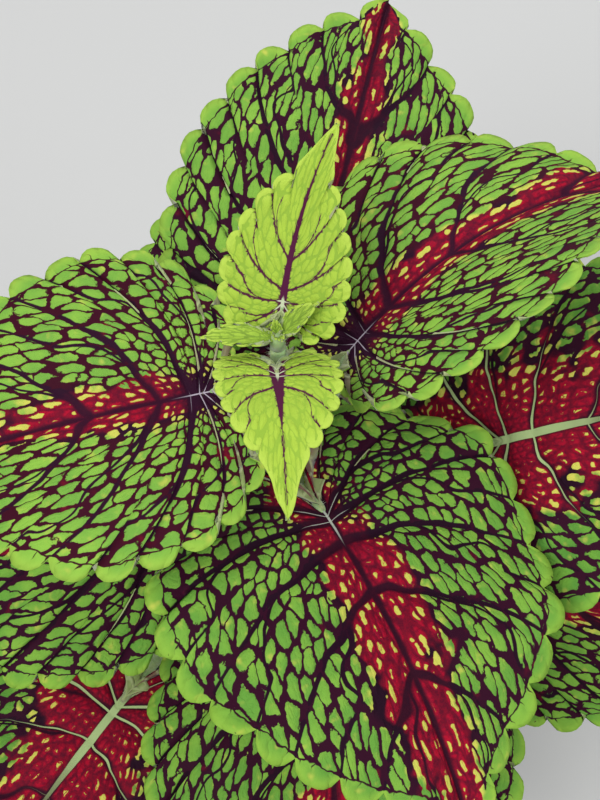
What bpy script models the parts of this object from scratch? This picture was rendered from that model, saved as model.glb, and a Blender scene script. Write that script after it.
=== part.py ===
"""A potted coleus: one square stem, six crossed pairs of scalloped leaves, side shoots, soil and a nursery pot.

Metres, +Z up. The origin is the centre of the pot's flat underside, and -Y is the side that is looked at.
"""

import math

import bmesh
import bpy
from mathutils import Matrix, Vector

MM = 0.001

# Pot: a thin moulded nursery pot with a rolled rim and a ring of drain holes.
POT_HEIGHT = 96 * MM
POT_BASE_RADIUS = 41 * MM
POT_TOP_RADIUS = 53 * MM
POT_WALL = 1.6 * MM
POT_FLOOR = 2.0 * MM
RIM_DEPTH = 11 * MM
RIM_STEP = 2.6 * MM
RIM_ROUND = 1.0 * MM
DRAIN_HOLES = 8
DRAIN_RADIUS = 4 * MM
DRAIN_RING = 29 * MM
TURN_STEPS = 40

# Soil: a plug that stands clear of the pot by the seat gap, a little mounded at the stem.
SEAT_GAP = 0.3 * MM
SOIL_TOP = 85 * MM
SOIL_MOUND = 4 * MM

# Stem: square with rounded corners, swollen at each pair of leaves, leaning a little to the left.
STEM_FOOT = 48 * MM
STEM_TOP = 256 * MM
STEM_HALF_WIDTH_FOOT = 3.9 * MM
STEM_HALF_WIDTH_TOP = 1.6 * MM
STEM_LEAN = -6 * MM
STEM_CORNER = 0.55
NODE_SWELL = 0.22
NODE_SWELL_REACH = 4 * MM
RINGS_ABOUT_NODE = (-7 * MM, -3.5 * MM, 0, 3.5 * MM, 6 * MM)
NODE_HEIGHTS = {
    "H": 108 * MM,
    "G": 132 * MM,
    "F": 160 * MM,
    "E": 194 * MM,
    "D": 226 * MM,
    "C": 251 * MM,
}

# Leaf: a thin blade with round teeth, on a petiole that runs on under it as the midrib.
BLADE = 0.8 * MM
SMALL_BLADE = 0.64 * MM
PETIOLE_RADIUS = 1.7 * MM
MIDRIB_RADIUS = 0.7 * MM
MIDRIB_REACH = 0.42
MIDRIB_SINK = 0.15 * MM
MIDRIB_STEPS = 4
SLIVERS = (0.05 * MM, 0.04 * MM, 0.03 * MM, 0.02 * MM, 0.01 * MM, 0.005 * MM)
PETIOLE_LEAD = 1.5 * MM
SHOOT_LEAD = 0.8 * MM
SHOOT_ABOVE_NODE = 6 * MM
LOBES_FROM = 0.035
LOBE_SHOULDER = 0.25
TIP_SHARES = (0, 0.45, 1)
FAN = 0.38
VEIN_BOW = 0.12
COLUMNS = (0.0, 0.30, 0.60, 0.84)
SMALL_COLUMNS = (0.0, 0.62)

# Outlines as (share of the half width, share of the length) from the petiole round to the tip.
MATURE = (
    (0, 0), (0.10, -0.07), (0.32, -0.11), (0.62, -0.07), (0.88, 0.06), (1.0, 0.26),
    (0.97, 0.46), (0.79, 0.65), (0.51, 0.81), (0.23, 0.92), (0.07, 0.975), (0, 1),
)
HEART = (
    (0, 0), (0.05, -0.13), (0.20, -0.25), (0.48, -0.27), (0.78, -0.14), (0.96, 0.04), (1.0, 0.22),
    (0.93, 0.42), (0.76, 0.62), (0.50, 0.79), (0.24, 0.905), (0.07, 0.975), (0, 1),
)
TONGUED = (
    (0, 0), (0.14, -0.09), (0.44, -0.15), (0.76, -0.11), (0.96, 0.02), (1.0, 0.17), (0.92, 0.33),
    (0.76, 0.47), (0.54, 0.60), (0.34, 0.69), (0.22, 0.78), (0.12, 0.90), (0, 1),
)
DEEP_TONGUED = (
    (0, 0), (0.10, -0.15), (0.36, -0.27), (0.72, -0.23), (0.97, -0.06), (1.0, 0.13), (0.92, 0.31),
    (0.76, 0.46), (0.54, 0.60), (0.34, 0.69), (0.22, 0.78), (0.12, 0.90), (0, 1),
)
OVAL = (
    (0, 0), (0.18, 0.02), (0.42, 0.08), (0.74, 0.20), (0.97, 0.36), (1.0, 0.50), (0.86, 0.66),
    (0.60, 0.80), (0.32, 0.91), (0.12, 0.97), (0, 1),
)
OUTLINE_STEPS = 24

FACES = {"right": 0, "back": 90, "left": 180, "front": -90}


def leaf(name, node, face, base, heading, length, width, rise, droop, **more):
    """A leaf's sizes: base is where the blade meets its petiole, width is half the blade's, and angles are degrees."""
    sizes = {
        "name": name, "node": node, "face": face, "base": Vector(base) * MM, "heading": heading,
        "length": length * MM, "width": width * MM, "rise": rise, "droop": droop, "roll": 0,
        "fold": 8, "edges": (-12, -12), "sweep": 0, "lobes": 12, "lobes_to": 0.93, "tooth": 3.7 * MM,
        "form": MATURE, "ruffle": (0, 0, 0, 0), "thick": 1.0, "columns": COLUMNS, "material": "mature_leaf",
    }
    sizes.update(more)
    return sizes


LEAVES = (
    leaf("leaf_c_back", "C", "back", (-5, 6, 262), 80, 44, 15, 45, 5, roll=-5, fold=14, edges=(2, 3),
         sweep=12, lobes=9, lobes_to=0.78, tooth=1.7 * MM, form=TONGUED, thick=0.6, material="young_leaf"),
    leaf("leaf_c_front", "C", "front", (-6, -9, 261), -85, 38, 14, 34, -24, roll=-4, fold=11, edges=(0, 1),
         sweep=-2, lobes=10, lobes_to=0.78, tooth=1.6 * MM, form=DEEP_TONGUED, thick=0.6, material="young_leaf"),
    leaf("leaf_d_left", "D", "left", (-21, -3, 241), 194, 76, 42, 5, -20, fold=13, edges=(-4, -4), sweep=3),
    leaf("leaf_d_right", "D", "right", (10, 6, 243), 48, 88, 39, 24, -26, roll=-24, fold=15, edges=(4, 8),
         sweep=12),
    leaf("leaf_e_back", "E", "back", (0, 22, 217), 77, 107, 44, 20, -3, roll=10, fold=7, edges=(-17, -18),
         sweep=4, lobes=13, tooth=4.1 * MM),
    leaf("leaf_e_front", "E", "front", (4, -18, 210), -57, 85, 54, -2, -34, roll=-18, fold=4, edges=(-2, -15),
         sweep=4, lobes=13, tooth=4.3 * MM, form=HEART, ruffle=(4.5, 1.5, 4, -0.6)),
    leaf("leaf_f_right", "F", "right", (50, 13, 181), 2, 100, 50, 30, -18, roll=8, fold=8, edges=(-8, -10),
         sweep=-3, lobes=13, tooth=4.1 * MM, form=HEART, material="old_leaf"),
    leaf("leaf_f_left", "F", "left", (-31, -8, 182), 178, 98, 48, 8, -24, roll=2, fold=6, edges=(-15, -15),
         sweep=-8, lobes=13, tooth=4.1 * MM),
    leaf("leaf_g_back", "G", "back", (-3, 34, 158), 102, 104, 48, 10, -24, fold=6, edges=(-16, -16), sweep=4,
         lobes=13, tooth=4.1 * MM),
    leaf("leaf_g_front", "G", "front", (8, -27, 152), -90, 106, 52, 4, -26, fold=6, edges=(-18, -18), lobes=13,
         tooth=4.1 * MM),
    leaf("leaf_h_right", "H", "right", (43, -7, 128), -4, 94, 42, 5, -26, roll=-6, fold=7, edges=(-15, -14),
         sweep=4, lobes=12),
    leaf("leaf_h_left", "H", "left", (-51, -42, 129), 234, 88, 45, 1, -26, fold=6, edges=(-15, -15), sweep=4,
         lobes=12, form=HEART, material="old_leaf"),
)


def material(name, colour, roughness):
    made = bpy.data.materials.new(name)
    made.use_nodes = True
    shader = made.node_tree.nodes["Principled BSDF"]
    shader.inputs["Base Color"].default_value = (*colour, 1)
    shader.inputs["Roughness"].default_value = roughness
    shader.inputs["Metallic"].default_value = 0
    made.diffuse_color = (*colour, 1)
    return made


def make_materials():
    return {
        "young_leaf": material("young_leaf", (0.42, 0.58, 0.11), 0.55),
        "mature_leaf": material("mature_leaf", (0.20, 0.34, 0.07), 0.5),
        "old_leaf": material("old_leaf", (0.30, 0.05, 0.06), 0.5),
        "stem": material("stem", (0.35, 0.50, 0.24), 0.5),
        "soil": material("soil", (0.055, 0.035, 0.022), 0.95),
        "pot": material("pot", (0.035, 0.036, 0.038), 0.45),
    }


def link(name, mesh, group, finish=None):
    made = bpy.data.objects.new(name, mesh)
    group.objects.link(made)
    if finish:
        mesh.materials.clear()
        mesh.materials.append(finish)
    return made


def smooth(mesh, degrees=40):
    mesh.shade_smooth()
    mesh.set_sharp_from_angle(angle=math.radians(degrees))


# Leaf geometry


def spline(points, steps):
    """Points along a Catmull-Rom curve through the given ones."""
    points = [Vector(p) for p in points]
    points = [2 * points[0] - points[1], *points, 2 * points[-1] - points[-2]]
    made = []
    for a, b, c, d in zip(points, points[1:], points[2:], points[3:]):
        for step in range(steps):
            t = step / steps
            made.append(0.5 * (2 * b + (c - a) * t + (2 * a - 5 * b + 4 * c - d) * t**2
                               + (3 * b - a - 3 * c + d) * t**3))
    return [*made, points[-2]]


def at_share(points, share):
    """The point at this share of a polyline's length, and the direction there."""
    lengths = [(b - a).length for a, b in zip(points, points[1:])]
    left = share * sum(lengths)
    for a, b, length in zip(points, points[1:], lengths):
        if left <= length:
            break
        left -= length
    direction = (b - a).normalized()
    return a + direction * min(left, length), direction


def chord(distance, start, end, full):
    """An arc that turns from start to end, in radians, over the length full: its chord at distance, and the heading."""
    half = (end - start) * distance / full / 2
    reach = distance * (math.sin(half) / half if abs(half) > 1e-6 else 1)
    return reach, start + half


def blade_point(sizes, across, along, lift=0.0):
    """Where a point of the flat blade lies on the plant. Across is positive to the right, seen from the petiole."""
    length, width = sizes["length"], sizes["width"]
    share = along / length
    sweep = math.radians(sizes["sweep"])
    reach, heading = chord(along, 0, sweep, length)
    spine_across, spine_along = reach * math.sin(heading), reach * math.cos(heading)
    edge = math.radians(sizes["edges"][0 if across < 0 else 1])
    reach, tilt = chord(abs(across), math.radians(sizes["fold"]), edge, width)
    offset = math.copysign(reach * math.cos(tilt), across)
    left_crest, right_crest, waves, start = sizes["ruffle"]
    crest = left_crest if across < 0 else right_crest
    ripple = crest * MM * (across / width) ** 2 * math.cos(waves * math.pi * share + start)
    up = reach * math.sin(tilt) + ripple + lift
    flat_x = spine_across + offset * math.cos(sweep * share)
    flat_y = spine_along - offset * math.sin(sweep * share)
    rise, droop = math.radians(sizes["rise"]), math.radians(sizes["droop"])
    reach, pitch = chord(flat_y, rise, droop, length)
    slope = rise + (droop - rise) * flat_y / length
    local = Vector((
        flat_x,
        reach * math.cos(pitch) - up * math.sin(slope),
        reach * math.sin(pitch) + up * math.cos(slope),
    ))
    rolled = Matrix.Rotation(math.radians(sizes["roll"]), 3, Vector((0, math.cos(rise), math.sin(rise)))) @ local
    turned = Matrix.Rotation(math.radians(sizes["heading"] - 90), 3, "Z") @ rolled
    return sizes["base"] + turned


def margin(sizes):
    """The blade's smooth outline on its right half, in flat coordinates."""
    scale = (sizes["width"], sizes["length"])
    return spline([(x * scale[0], y * scale[1]) for x, y in sizes["form"]], OUTLINE_STEPS)


def vein_start(k):
    """The share of the midrib at which the lateral vein to share k of the margin leaves it."""
    return max(0, (k - FAN) / (1 - FAN))


def flat_point(sizes, outline, k, r):
    """A point on the lateral vein that ends at share k of the margin, at share r of the way out from the midrib."""
    edge, direction = at_share(outline, k)
    lobe = (k - LOBES_FROM) / (sizes["lobes_to"] - LOBES_FROM) * sizes["lobes"]
    if -1e-6 <= lobe <= sizes["lobes"] + 1e-6:
        notch = abs(2 * (lobe - math.floor(lobe + 1e-6)) - 1) ** 3
        inward = Vector((-direction.y, direction.x))
        edge = edge + inward * sizes["tooth"] * notch
    start = Vector((0, vein_start(k) * sizes["length"]))
    across = edge - start
    bow = start + across / 2 + Vector((across.y, -across.x)) * VEIN_BOW
    return start * (1 - r) ** 2 + bow * 2 * r * (1 - r) + edge * r**2


def blade_rows(sizes):
    """Each row as its k at the veins and the ks of the margin up to the next row."""
    lobes = sizes["lobes"]
    lobes_to = sizes["lobes_to"]
    step = (lobes_to - LOBES_FROM) / lobes
    rows = []
    for i in range(lobes):
        k = LOBES_FROM + i * step
        rows.append((k, (k, k + LOBE_SHOULDER * step, k + (1 - LOBE_SHOULDER) * step)))
    tip = [lobes_to + (1 - lobes_to) * share for share in TIP_SHARES]
    return [*rows, *((k, (k,)) for k in tip)]


def blade_mesh(sizes):
    """The blade as a closed thin solid, split into triangles alike on both faces."""
    outline = margin(sizes)
    shape = bmesh.new()
    known = {}

    def vertex(side, k, r):
        key = (0, vein_start(k), 0) if r == 0 or k == 1 else (side, k, r)
        if key not in known:
            flat = flat_point(sizes, outline, k, r)
            known[key] = shape.verts.new(blade_point(sizes, side * flat.x, flat.y))
        return known[key]

    def face(side, *corners):
        corners = [vertex(side, *c) for c in corners]
        if len(set(corners)) == 3:
            shape.faces.new(corners if side > 0 else corners[::-1])

    rows = blade_rows(sizes)
    for side in (1, -1):
        for (k, ks), (next_k, _) in zip(rows, rows[1:]):
            for r, next_r in zip(sizes["columns"], sizes["columns"][1:]):
                face(side, (k, r), (k, next_r), (next_k, next_r))
                face(side, (k, r), (next_k, next_r), (next_k, r))
            inner = sizes["columns"][-1]
            rim = [*ks, next_k]
            middle = len(rim) // 2
            for i, (a, b) in enumerate(zip(rim, rim[1:])):
                face(side, (k if i < middle else next_k, inner), (a, 1.0), (b, 1.0))
            face(side, (k, inner), (rim[middle], 1.0), (next_k, inner))
    mesh = bpy.data.meshes.new(sizes["name"])
    shape.to_mesh(mesh)
    shape.free()
    return mesh


def solidify(made, thickness):
    shell = made.modifiers.new("thickness", "SOLIDIFY")
    shell.thickness = thickness
    shell.offset = 0
    made.modifiers.new("triangles", "TRIANGULATE")
    return made


def tube(name, points, radii, group):
    """A round bar along the points, as a mesh with its caps welded."""
    curve = bpy.data.curves.new(name, "CURVE")
    curve.dimensions = "3D"
    curve.bevel_depth = 1
    curve.bevel_resolution = 1
    curve.use_fill_caps = True
    path = curve.splines.new("POLY")
    path.points.add(len(points) - 1)
    for knot, place, radius in zip(path.points, points, radii):
        knot.co = (*place, 1)
        knot.radius = radius
    helper = link(name + "_curve", curve, group)
    bpy.context.view_layer.update()
    mesh = bpy.data.meshes.new_from_object(helper.evaluated_get(bpy.context.evaluated_depsgraph_get()))
    bpy.data.objects.remove(helper)
    welded = bmesh.new()
    welded.from_mesh(mesh)
    bmesh.ops.remove_doubles(welded, verts=welded.verts, dist=1e-6)
    bmesh.ops.triangulate(welded, faces=welded.faces)
    welded.to_mesh(mesh)
    welded.free()
    return link(name, mesh, group)


def clear_slivers(mesh):
    """Closes the short edges and flat triangles that a union leaves along its seams, if the mesh stays closed."""
    for reach in SLIVERS:
        shape = bmesh.new()
        shape.from_mesh(mesh)
        bmesh.ops.dissolve_degenerate(shape, dist=reach, edges=shape.edges)
        bmesh.ops.triangulate(shape, faces=shape.faces)
        closed = all(edge.is_manifold for edge in shape.edges) and all(vert.is_manifold for vert in shape.verts)
        if closed:
            shape.to_mesh(mesh)
        shape.free()
        if closed:
            return


def join(name, pieces, group, finish):
    """One solid from overlapping pieces, by one Boolean union on a collection, applied."""
    first, *others = pieces
    scraps = bpy.data.collections.new(name + "_scraps")
    for piece in others:
        group.objects.unlink(piece)
        scraps.objects.link(piece)
    union = first.modifiers.new("union", "BOOLEAN")
    union.operation = "UNION"
    union.operand_type = "COLLECTION"
    union.solver = "MANIFOLD"
    union.collection = scraps
    bpy.context.scene.collection.children.link(scraps)
    bpy.context.view_layer.update()
    mesh = bpy.data.meshes.new_from_object(first.evaluated_get(bpy.context.evaluated_depsgraph_get()))
    for piece in pieces:
        bpy.data.objects.remove(piece)
    bpy.data.collections.remove(scraps)
    clear_slivers(mesh)
    smooth(mesh)
    return link(name, mesh, group, finish)


# Stem


def stem_centre(height):
    """The stem's axis: straight from the soil, then leaning."""
    share = max(0, (height - SOIL_TOP) / (STEM_TOP - SOIL_TOP))
    return Vector((STEM_LEAN * share**1.6, 0, height))


def stem_half_width(height):
    share = (height - STEM_FOOT) / (STEM_TOP - STEM_FOOT)
    width = STEM_HALF_WIDTH_FOOT + (STEM_HALF_WIDTH_TOP - STEM_HALF_WIDTH_FOOT) * share
    swell = sum(math.exp(-(((height - node) / NODE_SWELL_REACH) ** 2)) for node in NODE_HEIGHTS.values())
    return width * (1 + NODE_SWELL * swell)


def square_ring(shape, centre, half, corner=STEM_CORNER):
    """Eight corners of a square section whose edges are cut."""
    points = []
    for quarter in range(4):
        turn = Matrix.Rotation(quarter * math.pi / 2, 3, "Z")
        for x, y in ((half, -half * corner), (half, half * corner)):
            points.append(shape.verts.new(centre + turn @ Vector((x, y, 0))))
    return points


def square_bar(name, rings, group, finish=None):
    """A loft through level square sections, given as (centre, half width), closed at both ends."""
    shape = bmesh.new()
    loops = [square_ring(shape, centre, half) for centre, half in rings]
    for low, high in zip(loops, loops[1:]):
        for i in range(len(low)):
            j = (i + 1) % len(low)
            shape.faces.new((low[i], low[j], high[j], high[i]))
    shape.faces.new(loops[0][::-1])
    shape.faces.new(loops[-1])
    mesh = bpy.data.meshes.new(name)
    shape.to_mesh(mesh)
    shape.free()
    smooth(mesh, 30)
    return link(name, mesh, group, finish)


def stem_rings():
    heights = [STEM_FOOT, SOIL_TOP - 8 * MM, SOIL_TOP + SOIL_MOUND + 2 * MM, STEM_TOP]
    heights += [node + step for node in NODE_HEIGHTS.values() for step in RINGS_ABOUT_NODE]
    return [(stem_centre(h), stem_half_width(h)) for h in sorted(heights) if h <= STEM_TOP]


# Leaves and shoots


def face_direction(face):
    angle = math.radians(FACES[face])
    return Vector((math.cos(angle), math.sin(angle), 0))


def petiole_path(sizes, steps=6):
    """From level at the stem's flat, up to the blade's base along the midrib's own direction."""
    height = NODE_HEIGHTS[sizes["node"]]
    out = face_direction(sizes["face"])
    seat = stem_centre(height) + out * (stem_half_width(height) + SEAT_GAP)
    start = seat + out * PETIOLE_LEAD
    end = sizes["base"] + (blade_point(sizes, 0, 0, MIDRIB_SINK - PETIOLE_RADIUS * sizes["thick"]) - sizes["base"])
    pull = (end - start).length * 0.4
    into = (blade_point(sizes, 0, 4 * MM) - blade_point(sizes, 0, 0)).normalized()
    bends = (start, start + out * pull, end - into * pull, end)
    return [seat, *(bezier(bends, i / steps) for i in range(steps + 1))]


def bezier(bends, t):
    a, b, c, d = bends
    return a * (1 - t) ** 3 + b * 3 * t * (1 - t) ** 2 + c * 3 * t**2 * (1 - t) + d * t**3


def make_leaf(sizes, group, finishes):
    blade = solidify(link(sizes["name"] + "_blade", blade_mesh(sizes), group), BLADE)
    thick = PETIOLE_RADIUS * sizes["thick"]
    thin = MIDRIB_RADIUS * sizes["thick"]
    path = petiole_path(sizes)
    radii = [thick * (1.1 - 0.1 * i / (len(path) - 1)) for i in range(len(path))]
    for i in range(1, MIDRIB_STEPS + 1):
        share = i / MIDRIB_STEPS
        radii.append(thick + (thin - thick) * share)
        path.append(blade_point(sizes, 0, sizes["length"] * MIDRIB_REACH * share, MIDRIB_SINK - radii[-1]))
    stalk = tube(sizes["name"] + "_petiole", path, radii, group)
    return join(sizes["name"], [blade, stalk], group, finishes[sizes["material"]])


def small_leaf(name, base, heading, length, rise, droop, group, fold=12, slim=0.34):
    """One of the small leaves of a shoot, whose narrow foot is sunk into what it grows from."""
    sizes = leaf(name, "C", "front", base, heading, length, length * slim, rise, droop, fold=fold,
                 edges=(4, 4), lobes=4, tooth=length * slim * 0.1 * MM, form=OVAL, columns=SMALL_COLUMNS)
    return solidify(link(name, blade_mesh(sizes), group), SMALL_BLADE)


def shoot(name, foot, heading, reach, rise, leaf_length, radius, group, finish, tip_pairs=1):
    """A short leafy shoot: a stub that bends upwards, with crossed pairs of small leaves fused to its top."""
    flat = Vector((math.cos(math.radians(heading)), math.sin(math.radians(heading)), 0))
    up = Vector((0, 0, 1))
    lean = (flat * math.cos(math.radians(rise)) + up * math.sin(math.radians(rise))) * reach
    bend = foot + flat * SHOOT_LEAD
    bends = (bend, bend + flat * reach * 0.25, bend + lean * 0.7, bend + lean)
    path = [foot, *(bezier(bends, i / 4) for i in range(5))]
    radii = [radius * (1.1 - 0.07 * i) for i in range(6)]
    pieces = [tube(name + "_stub", path, radii, group)]
    top = path[-1] / MM
    for pair in range(tip_pairs):
        size = leaf_length * (1 - 0.45 * pair)
        for side in (0, 180):
            turn = heading + 90 + 90 * pair + side
            out = Vector((math.cos(math.radians(turn)), math.sin(math.radians(turn)), 0))
            base = top + out * 0.25 - Vector((0, 0, 1.0 - 1.4 * pair))
            pieces.append(small_leaf(f"{name}_leaf_{pair}_{side}", base, turn, size, 32 + 14 * pair,
                                     -8 + 14 * pair, group))
    return join(name, pieces, group, finish)


def shoot_tip(group, finish):
    """The growing point: a short bar on the stem's top with a pointed pair to the sides and the bud pair in it."""
    start = stem_centre(STEM_TOP) + Vector((0, 0, SEAT_GAP))
    half = stem_half_width(STEM_TOP)
    rise = 5 * MM
    bar = square_bar("shoot_tip_bar", [(start, half), (start + Vector((0, 0, rise)), half * 0.75)], group)
    top = (start + Vector((0, 0, rise))) / MM
    pieces = [bar]
    for label, heading, length, up, down, drop, fold, slim in (
        ("left", 186, 17, 22, 2, 1.6, 26, 0.19), ("right", 22, 13, 52, 36, 1.6, 26, 0.22),
        ("bud_back", 110, 5, 80, 70, 0.8, 30, 0.28), ("bud_front", -70, 5, 60, 40, 0.8, 30, 0.28),
    ):
        turn = math.radians(heading)
        base = top + Vector((math.cos(turn), math.sin(turn), 0)) * 0.3 - Vector((0, 0, drop))
        pieces.append(small_leaf("shoot_tip_" + label, base, heading, length, up, down, group, fold, slim))
    return join("shoot_tip", pieces, group, finish)


def make_shoots(group, finish):
    """One shoot in the axil above each of the larger leaves, smaller towards the top."""
    for node, face, reach, size in (
        ("E", "front", 6, 8), ("E", "back", 9, 11), ("F", "right", 16, 18.5), ("F", "left", 15, 18),
        ("G", "front", 17, 22), ("G", "back", 17, 22),
    ):
        height = NODE_HEIGHTS[node] + SHOOT_ABOVE_NODE
        out = face_direction(face)
        foot = stem_centre(height) + out * (stem_half_width(height) + SEAT_GAP)
        shoot(f"side_shoot_{node.lower()}_{face}", foot, FACES[face], reach * MM, 66, size,
              1.3 * MM, group, finish)


# Pot and soil


def turned(name, profile, group, finish=None):
    """A solid of revolution from (radius, height) points that run down its outer side."""
    shape = bmesh.new()
    points = [shape.verts.new((r, 0, z)) for r, z in profile]
    for a, b in zip(points, points[1:]):
        shape.edges.new((a, b))
    mesh = bpy.data.meshes.new(name)
    shape.to_mesh(mesh)
    shape.free()
    made = link(name, mesh, group, finish)
    screw = made.modifiers.new("turn", "SCREW")
    screw.axis = "Z"
    screw.angle = 2 * math.pi
    screw.steps = screw.render_steps = TURN_STEPS
    screw.use_merge_vertices = True
    screw.merge_threshold = 1e-5
    screw.use_smooth_shade = True
    return made


def wall_radius(height):
    """The pot's outer radius below the rim."""
    return POT_BASE_RADIUS + (POT_TOP_RADIUS - POT_BASE_RADIUS) * height / POT_HEIGHT


def make_pot(group, cutters, finish):
    under_rim = POT_HEIGHT - RIM_DEPTH
    rim = POT_TOP_RADIUS + RIM_STEP
    profile = (
        (0, POT_FLOOR),
        (wall_radius(POT_FLOOR) - POT_WALL, POT_FLOOR),
        (wall_radius(under_rim) - POT_WALL, under_rim),
        (POT_TOP_RADIUS + RIM_STEP - POT_WALL, under_rim + RIM_STEP),
        (rim - POT_WALL, POT_HEIGHT - RIM_ROUND / 2),
        (rim - POT_WALL / 2, POT_HEIGHT),
        (rim + RIM_ROUND, POT_HEIGHT - RIM_ROUND / 2),
        (rim + RIM_ROUND, POT_HEIGHT - 2.5 * RIM_ROUND),
        (rim, POT_HEIGHT - 3 * RIM_ROUND),
        (rim - 0.4 * RIM_ROUND, under_rim + RIM_STEP - POT_WALL),
        (wall_radius(under_rim), under_rim - POT_WALL),
        (wall_radius(POT_FLOOR), POT_FLOOR),
        (POT_BASE_RADIUS - RIM_ROUND, 0),
        (0, 0),
    )
    pot = turned("pot", profile, group, finish)
    for i in range(DRAIN_HOLES):
        angle = 2 * math.pi * i / DRAIN_HOLES
        bpy.ops.mesh.primitive_cylinder_add(
            vertices=12, radius=DRAIN_RADIUS, depth=4 * POT_FLOOR,
            location=(DRAIN_RING * math.cos(angle), DRAIN_RING * math.sin(angle), POT_FLOOR / 2),
        )
        hole = bpy.context.object
        hole.name = f"drain_hole_{i}"
        as_cutter(hole, cutters)
        cut(pot, hole)
    return pot


def as_cutter(made, cutters):
    for group in list(made.users_collection):
        group.objects.unlink(made)
    cutters.objects.link(made)
    made.hide_render = True
    made.display_type = "WIRE"


def cut(made, cutter):
    difference = made.modifiers.new("cut_" + cutter.name, "BOOLEAN")
    difference.operation = "DIFFERENCE"
    difference.object = cutter


def make_soil(group, cutters, finish):
    """The root ball, inside the pot by the seat gap, with a plain square hole that the stem stands in."""
    floor = POT_FLOOR + SEAT_GAP
    edge = wall_radius(SOIL_TOP - 2 * MM) - POT_WALL - SEAT_GAP
    foot = wall_radius(floor) - POT_WALL - SEAT_GAP
    profile = (
        (0, SOIL_TOP + SOIL_MOUND),
        (0.18 * edge, SOIL_TOP + 0.9 * SOIL_MOUND),
        (0.45 * edge, SOIL_TOP + 0.45 * SOIL_MOUND),
        (0.72 * edge, SOIL_TOP + 0.1 * SOIL_MOUND),
        (0.93 * edge, SOIL_TOP),
        (edge, SOIL_TOP - 2 * MM),
        (foot, floor),
        (0, floor),
    )
    soil = turned("soil", profile, group, finish)
    rings = [(stem_centre(h), stem_half_width(h) + SEAT_GAP)
             for h in (STEM_FOOT - SEAT_GAP, SOIL_TOP - 8 * MM, SOIL_TOP + SOIL_MOUND + 5 * MM)]
    hole = square_bar("stem_hole", rings, group)
    as_cutter(hole, cutters)
    cut(soil, hole)
    return soil


def main():
    for old in list(bpy.data.objects):
        bpy.data.objects.remove(old)
    plant = bpy.data.collections.new("potted_coleus")
    cutters = bpy.data.collections.new("cutters")
    bpy.context.scene.collection.children.link(plant)
    bpy.context.scene.collection.children.link(cutters)
    finishes = make_materials()
    make_pot(plant, cutters, finishes["pot"])
    make_soil(plant, cutters, finishes["soil"])
    square_bar("main_stem", stem_rings(), plant, finishes["stem"])
    shoot_tip(plant, finishes["young_leaf"])
    make_shoots(plant, finishes["young_leaf"])
    for sizes in LEAVES:
        make_leaf(sizes, plant, finishes)


main()
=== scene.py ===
import math
from collections import namedtuple
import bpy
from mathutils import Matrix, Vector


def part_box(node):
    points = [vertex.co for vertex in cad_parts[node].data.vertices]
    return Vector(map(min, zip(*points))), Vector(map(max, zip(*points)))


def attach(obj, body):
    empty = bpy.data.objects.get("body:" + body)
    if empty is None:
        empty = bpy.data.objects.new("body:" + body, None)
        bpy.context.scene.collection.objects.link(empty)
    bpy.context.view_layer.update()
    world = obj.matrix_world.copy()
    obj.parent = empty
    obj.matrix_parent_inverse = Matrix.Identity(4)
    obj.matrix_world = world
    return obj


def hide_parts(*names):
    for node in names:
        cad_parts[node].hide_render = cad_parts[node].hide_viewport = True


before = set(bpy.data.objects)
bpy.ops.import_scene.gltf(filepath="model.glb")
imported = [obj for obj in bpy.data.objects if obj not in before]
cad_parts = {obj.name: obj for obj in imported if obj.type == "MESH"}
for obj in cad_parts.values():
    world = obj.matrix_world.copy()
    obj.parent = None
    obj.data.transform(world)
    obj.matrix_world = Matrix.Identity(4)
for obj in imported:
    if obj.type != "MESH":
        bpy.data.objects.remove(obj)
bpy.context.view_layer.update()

from types import SimpleNamespace

import bmesh
import bpy
import numpy as np
from mathutils import Vector

# Lengths here are millimetres, as in the plant's own sizes, until a mesh is made from them.
# Angles are degrees.
MM = 0.001

# Camera: as high as the photograph's, with the growing point above the middle of the picture.
CAMERA_PLACE = (-1, -160, 532)
CAMERA_AIM = (-1, 9, 214)
CAMERA_LENS = 64.8
CAMERA_SENSOR = 36
CAMERA_NEAR = 0.01

# Soil and stem, from the frame
SOIL_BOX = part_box("soil")
SOIL_RADIUS = SOIL_BOX[1][0] / MM
SOIL_MOUND = 4
SOIL_TOP = SOIL_BOX[1][2] / MM - SOIL_MOUND
STEM_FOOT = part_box("main_stem")[0][2] / MM
STEM_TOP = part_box("main_stem")[1][2] / MM
STEM_HALF_WIDTH_FOOT = 3.9
STEM_HALF_WIDTH_TOP = 1.6
STEM_LEAN = -6
NODE_SWELL = 0.22
NODE_SWELL_REACH = 4
NODE_HEIGHTS = {"H": 108, "G": 132, "F": 160, "E": 194, "D": 226, "C": 251}
FACES = {"right": 0, "back": 90, "left": 180, "front": -90}
SEAT_GAP = 0.3

# Soil: its grid, its waves as (wavelength, height) and its loose crumbs
SOIL_RINGS = 90
SOIL_SPOKES = 200
SOIL_WAVES = ((16, 1.0), (7, 0.9), (3.4, 0.8), (1.9, 0.5))
CRUMBS = 520
CRUMB_DOTS = 26

# Blade: rows leave the midrib and end at the margin, ROWS_PER_LOBE to each round tooth
LOBES_FROM = 0.035
FAN = 0.25
FAN_POWER = 3
FAN_SPREAD = 0.04
VEIN_BOW = 0.16
ROWS_PER_LOBE = 8
TIP_ROWS = 7
BLADE_COLUMNS = 27
COLUMN_POWER = 0.92
MARGIN_STEP = 0.004
BLADE_THICK = 0.55
EDGE_THICK = 0.3
PETIOLE_RADIUS = 1.7
PETIOLE_LEAD = 1.5
MIDRIB_SINK = 0.15
MIDRIB_GROOVE = 0.8
CELLS_ACROSS = 2.0
CELL_LENGTH = 1.5
CELL_GROWTH = 0.09
CELL_GAIN_FORWARD = 1.3
CELL_LENGTH_MOST = 4.6
FULL_HALF_WIDTH = 50
LOBES_A_HALF = 40
PATTERN_SHIFT = 37
BLADE_WAVES = ((22, 0.9), (13, 0.45), (8, 0.22))

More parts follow.
